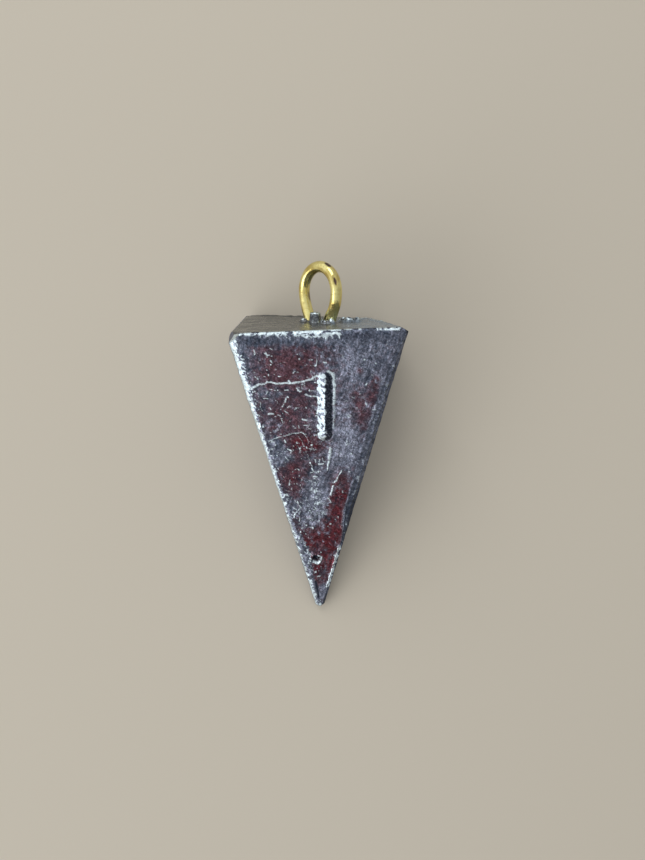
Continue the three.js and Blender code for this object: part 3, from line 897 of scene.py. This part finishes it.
def build_wire(material):
    line = curve_through(wire_route(), 20)
    tangent = np.gradient(line, axis=0)
    tangent /= np.linalg.norm(tangent, axis=1)[:, None]
    side = np.cross(tangent, WIRE_PLANE)
    points = []
    for step, (centre, across) in enumerate(zip(line, side)):
        reach = centre[1] - SHARP_HEIGHT
        pressed = 1 + 0.3 * (step > len(line) / 2) * ramp(1.5, 0.5, reach)
        for i in range(WIRE_SIDES):
            angle = 2 * math.pi * i / WIRE_SIDES
            out = math.cos(angle) * across * pressed + math.sin(angle) * WIRE_PLANE / pressed
            points.append(centre + WIRE_RADIUS * out)
    points = np.array(points)
    radial = points - np.repeat(line, WIRE_SIDES, axis=0)
    radial /= np.linalg.norm(radial, axis=1)[:, None]
    depth = -0.015 * wander(points, 0.8, 3, 8.0)
    # How dark the brass is made at each point; in the deep notch this is painted shade.
    dark_spots = np.zeros(len(points))
    for place, reach, dent, darkness in EYE_MARKS:
        near = eye_mark(points, place, reach)
        depth += dent * near
        dark_spots = np.maximum(dark_spots, darkness * ramp(0.3, 0.6, near))
    points = points - radial * depth[:, None]
    points = np.vstack((points, line[0], line[-1]))
    faces = loft_faces(len(line), WIRE_SIDES, len(points) - 2, len(points) - 1)
    wire = make_piece("brass_eye", points, faces, material)
    add_mask(wire, "dark_spots", np.concatenate((dark_spots, (0.0, 0.0))))
    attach(wire, "root")
    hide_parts("wire_eye")


# Materials

def srgb(red, green, blue):
    """A colour given in 0 to 255 display values, as the linear colour that a shader takes."""
    linear = []
    for value in (red / 255, green / 255, blue / 255):
        linear.append(value / 12.92 if value <= 0.04045 else ((value + 0.055) / 1.055) ** 2.4)
    return (*linear, 1.0)


class Graph:
    """Short names for the nodes of a material or the world."""

    def __init__(self, owner, shader="Principled BSDF"):
        owner.use_nodes = True
        self.owner = owner
        self.nodes = owner.node_tree.nodes
        self.links = owner.node_tree.links
        self.shader = self.nodes[shader]

    def put(self, socket, value):
        if isinstance(value, bpy.types.NodeSocket):
            self.links.new(value, socket)
        else:
            socket.default_value = value

    def add(self, kind, inputs, out=0, **settings):
        """Makes a node and returns one of its outputs."""
        node = self.nodes.new("ShaderNode" + kind)
        for name, value in settings.items():
            setattr(node, name, value)
        for name, value in inputs.items():
            self.put(node.inputs[name], value)
        return node.outputs[out]

    def set(self, name, value):  # of the shader
        self.put(self.shader.inputs[name], value)

    def math(self, operation, a, b):
        return self.add("Math", {0: a, 1: b}, operation=operation)

    plus = partialmethod(math, "ADD")
    minus = partialmethod(math, "SUBTRACT")
    times = partialmethod(math, "MULTIPLY")
    higher = partialmethod(math, "MAXIMUM")
    power = partialmethod(math, "POWER")

    def swing(self, value, reach):
        """How far the value lies from 0.5, times reach."""
        return self.times(self.minus(value, 0.5), reach)

    def step(self, value, low, high):
        inputs = {"Value": value, "From Min": low, "From Max": high}
        return self.add("MapRange", inputs, interpolation_type="SMOOTHSTEP")

    def mix(self, share, a, b):
        return self.add("Mix", {0: share, 6: a, 7: b}, 2, data_type="RGBA")

    def scaled(self, tone, factor):
        return self.add("VectorMath", {0: tone, "Scale": factor}, operation="SCALE")

    def attribute(self, name):
        return self.add("Attribute", {}, "Fac", attribute_name=name)

    def place(self):
        """Place on the piece in millimetres about the pyramid's axis."""
        c, s = math.cos(FACE_ANGLE), math.sin(FACE_ANGLE)
        return self.add("Mapping", {
            "Vector": self.add("TexCoord", {}, "Object"),
            "Location": (0, -SHIFT_Y * c, SHIFT_Y * s),
            "Rotation": (-FACE_ANGLE, 0, 0),
            "Scale": (1 / MM,) * 3,
        })

    def stretched(self, place, turn, scale):
        """The place turned about Z and then scaled, for grain that runs one way."""
        inputs = {"Vector": place, "Rotation": (0, 0, turn), "Scale": tuple(1 / value for value in scale)}
        return self.add("Mapping", inputs, vector_type="TEXTURE")

    def noise(self, place, scale, detail=2.0, rough=0.5, distortion=0.0):
        form = {"Scale": scale, "Detail": detail, "Roughness": rough, "Distortion": distortion}
        return self.add("TexNoise", {"Vector": place, **form}, "Fac")

    def pits(self, place, scale):
        """1 in small round pits of uneven size."""
        away = self.add("TexVoronoi", {"Vector": place, "Scale": scale}, "Distance")
        size = self.add("SeparateColor", {0: away.node.outputs["Color"]})
        return self.step(self.minus(self.times(self.power(size, 3.0), 0.13), away), 0.0, 0.05)

    def bump(self, height, distance, strength, below=None):
        """A normal raised by the height, on the plain normal or on another bump."""
        inputs = {"Height": height, "Distance": distance * MM, "Strength": strength}
        if below:
            inputs["Normal"] = below
        return self.add("Bump", inputs)


SLATE = srgb(66, 76, 92)
PLAIN_LEAD = srgb(100, 105, 120)
HAZE = srgb(158, 162, 182)
# Tones of the painted maroon reflection
MAROON_REFLECTION = srgb(85, 54, 61)
DEEP_MAROON_REFLECTION = srgb(86, 29, 35)
SHADE = srgb(34, 40, 54)
# Bare lead, also the tone of painted highlights
BARE_AND_HIGHLIGHT = srgb(210, 226, 234)
BASE_TONE = srgb(84, 86, 86)
BASE_BLUE = srgb(134, 151, 168)


class LeadGraph(Graph):
    """The cast skin: its masks and noises, and what they make of it."""

    def __init__(self):
        super().__init__(bpy.data.materials.new("cast lead"))
        for name in (*MASKS, "poured"):
            setattr(self, name, self.attribute(name))
        place = self.place()
        self.broad = self.noise(place, 0.8, 3.0, 0.55)
        self.mid = self.noise(place, 2.4, 4.0, 0.6)
        self.grain = self.noise(place, 4.2, 4.0, 0.7)
        self.fine = self.noise(place, 9.0, 3.0, 0.7)
        self.streaks = self.noise(self.stretched(place, -0.3, (3.4, 0.8, 2.4)), 1.0, 6.0, 0.75, 0.8)
        self.crossed = self.noise(self.stretched(place, 1.0, (6.0, 1.5, 3.0)), 1.0, 4.0, 0.65, 0.8)
        # Long hairlines both ways and small round pits, on every face
        ways = (0.5, (0.35, 7.0, 7.0)), (-0.9, (0.4, 8.0, 8.0))
        hairs = [self.noise(self.stretched(place, *way), 1.0, 2.0, 0.6, 0.3) for way in ways]
        self.hairs = self.step(self.higher(*hairs), 0.68, 0.74)
        self.dots = self.pits(place, 0.75)


def cast_tone(g):
    """Mottling and streaks show where the skin is lively, elsewhere only faintly."""
    reach = g.plus(0.25, g.times(g.lively, 0.75))
    mottle = g.swing(g.step(g.mid, 0.36, 0.64), reach)
    tone = g.mix(g.plus(mottle, 0.5), SLATE, PLAIN_LEAD)
    gaps = g.times(g.minus(1.0, g.step(g.streaks, 0.36, 0.64)), g.lively)
    streaky = g.times(g.haze, g.minus(1.0, g.times(gaps, 0.65)))
    return g.mix(streaky, tone, HAZE)


def with_maroon_reflection(g, tone):
    """The painted maroon reflection is broken up here and there, and its edges are soft."""
    broken = g.step(g.plus(g.maroon_reflection, g.swing(g.mid, 0.9)), 0.1, 0.85)
    maroon = g.mix(g.step(g.maroon_reflection, 0.84, 0.97), MAROON_REFLECTION, DEEP_MAROON_REFLECTION)
    return g.mix(g.times(broken, 0.94), tone, maroon)


def grained(g, tone):
    """Light and dark grain of the cast skin, in stops about the tone."""
    stops = g.plus(g.swing(g.grain, 3.5), g.swing(g.fine, 4.0))
    stops = g.plus(stops, g.swing(g.streaks, g.plus(2.0, g.times(g.haze, 4.0))))
    stops = g.plus(stops, g.swing(g.crossed, 3.0))
    return g.scaled(tone, g.power(2.0, g.times(stops, g.times(g.lively, 1.15))))


def scarred(g, tone):
    """Thin scratches both ways, hairlines, and painted shade in the pits and over the shade mask."""
    scratched = g.step(g.higher(g.streaks, g.crossed), 0.66, 0.76)
    tone = g.mix(g.times(scratched, g.times(g.lively, 0.6)), tone, HAZE)
    tone = g.mix(g.times(g.hairs, 0.35), tone, HAZE)
    tone = g.mix(g.times(g.dots, 0.6), tone, SHADE)
    return g.mix(g.shade, tone, SHADE)


def worn_and_highlit(g):
    """1 where the lead is bare and where a highlight is painted, with a ragged border."""
    ragged = g.step(g.plus(g.bare_and_highlight, g.swing(g.fine, 1.0)), 0.2, 0.8)
    return g.times(ragged, g.step(g.bare_and_highlight, 0.03, 0.2))


def roughness(g):
    rough = g.plus(0.2, g.times(g.mid, 0.2))
    rough = g.plus(rough, g.times(g.step(g.broad, 0.35, 0.65), 0.14))
    return g.minus(rough, g.times(g.poured, 0.1))


def relief(g):
    """Soft swells of the cast skin, and grain and scratches on the lively parts."""
    relief = g.plus(g.times(g.grain, 0.5), g.times(g.fine, 0.25))
    relief = g.times(g.plus(relief, g.times(g.streaks, 0.35)), g.lively)
    relief = g.minus(relief, g.times(g.hairs, 0.08))
    relief = g.minus(relief, g.times(g.dots, 0.5))
    return g.bump(relief, 0.12, 0.55, g.bump(g.mid, 0.25, 0.3))


def lead_material():
    g = LeadGraph()
    tone = g.mix(g.poured, with_maroon_reflection(g, cast_tone(g)), g.mix(g.haze, BASE_TONE, BASE_BLUE))
    bare_and_highlight = worn_and_highlit(g)
    g.set("Base Color", g.mix(bare_and_highlight, scarred(g, grained(g, tone)), BARE_AND_HIGHLIGHT))
    dulled = g.times(g.poured, g.minus(1.0, bare_and_highlight))
    g.set("Metallic", g.minus(0.9, g.times(dulled, 0.45)))
    g.set("Roughness", roughness(g))
    g.set("Normal", relief(g))
    return g.owner


BRASS = srgb(250, 240, 166)
BRASS_SHADE = srgb(210, 190, 114)
BRASS_DARK_SPOT = srgb(70, 46, 62)
FLOOR_TONE = srgb(194, 187, 173)


def brass_material():
    g = Graph(bpy.data.materials.new("brass wire"))
    place = g.place()
    broad = g.noise(place, 0.8, 4.0, 0.6)
    fine = g.noise(place, 4.0, 3.0, 0.6)
    tone = g.mix(g.step(broad, 0.36, 0.66), BRASS, BRASS_SHADE)
    dirt = g.times(g.step(fine, 0.6, 0.72), 0.35)
    # Dirt, and the dark marks of the eye, with painted shade in its notch.
    g.set("Base Color", g.mix(g.higher(dirt, g.attribute("dark_spots")), tone, BRASS_DARK_SPOT))
    g.set("Metallic", 1.0)
    g.set("Roughness", g.plus(0.09, g.times(fine, 0.18)))
    g.set("Normal", g.bump(fine, 0.04, 0.3))
    return g.owner


def floor_material():
    g = Graph(bpy.data.materials.new("pale floor"))
    g.set("Base Color", FLOOR_TONE)
    g.set("Roughness", 0.9)
    g.set("Specular IOR Level", 0.2)
    return g.owner


# Camera, floor and light

CAMERA_PLACE = (0.481, 1.027, 72.75)  # millimetres, over the sinker
CAMERA_TILT = (0.312, 0.062, -0.425)  # degrees
IMAGE_HEIGHT = 860
FOCAL_PIXELS = 680
FLOOR_REACH = 0.6
FLOOR_DROP = -0.00001  # keeps it clear of the face that the sinker lies on
LAMP_AIM = (0.0, 0.0, 0.006)
WORLD_LEFT, WORLD_RIGHT = 0.95, 0.38  # brightness of the studio on the two sides


def add_camera():
    data = bpy.data.cameras.new("camera")
    data.sensor_fit = "VERTICAL"
    data.sensor_height = 24.0
    data.lens = FOCAL_PIXELS / IMAGE_HEIGHT * data.sensor_height
    data.clip_start = 0.002
    data.clip_end = 10.0
    camera = add_object("camera", data)
    camera.location = Vector(CAMERA_PLACE) * MM
    camera.rotation_euler = Euler([math.radians(value) for value in CAMERA_TILT])
    bpy.context.scene.camera = camera


def add_floor():
    mesh = bpy.data.meshes.new("floor")
    signs = ((-1, -1), (1, -1), (1, 1), (-1, 1))
    corners = [(x * FLOOR_REACH, y * FLOOR_REACH, FLOOR_DROP) for x, y in signs]
    mesh.from_pydata(corners, [], [(0, 1, 2, 3)])
    mesh.materials.append(floor_material())
    floor = add_object("floor", mesh)


def add_lamp(name, place, size, power):
    data = bpy.data.lights.new(name, "AREA")
    data.size = size
    data.energy = power
    lamp = add_object(name, data)
    lamp.location = place
    lamp.rotation_euler = (Vector(LAMP_AIM) - Vector(place)).to_track_quat("-Z", "Y").to_euler()


def add_light():
    add_lamp("window", (-0.2, -0.145, 0.1), 0.26, 0.34)
    add_lamp("high window", (-0.06, 0.2, 0.17), 0.15, 0.17)
    world = bpy.data.worlds.new("studio")
    g = Graph(world, "Background")
    across = g.add("SeparateXYZ", {0: g.add("TexCoord", {}, "Generated")})
    sides = {"From Min": -1.0, "From Max": 1.0, "To Min": WORLD_LEFT, "To Max": WORLD_RIGHT}
    g.set("Strength", g.add("MapRange", {"Value": across, **sides}))
    g.set("Color", (1.0, 1.0, 1.0, 1.0))
    bpy.context.scene.world = world


add_camera()
build_lead(lead_material())
build_wire(brass_material())
add_floor()
add_light()
bpy.context.scene.view_settings.view_transform = "Standard"
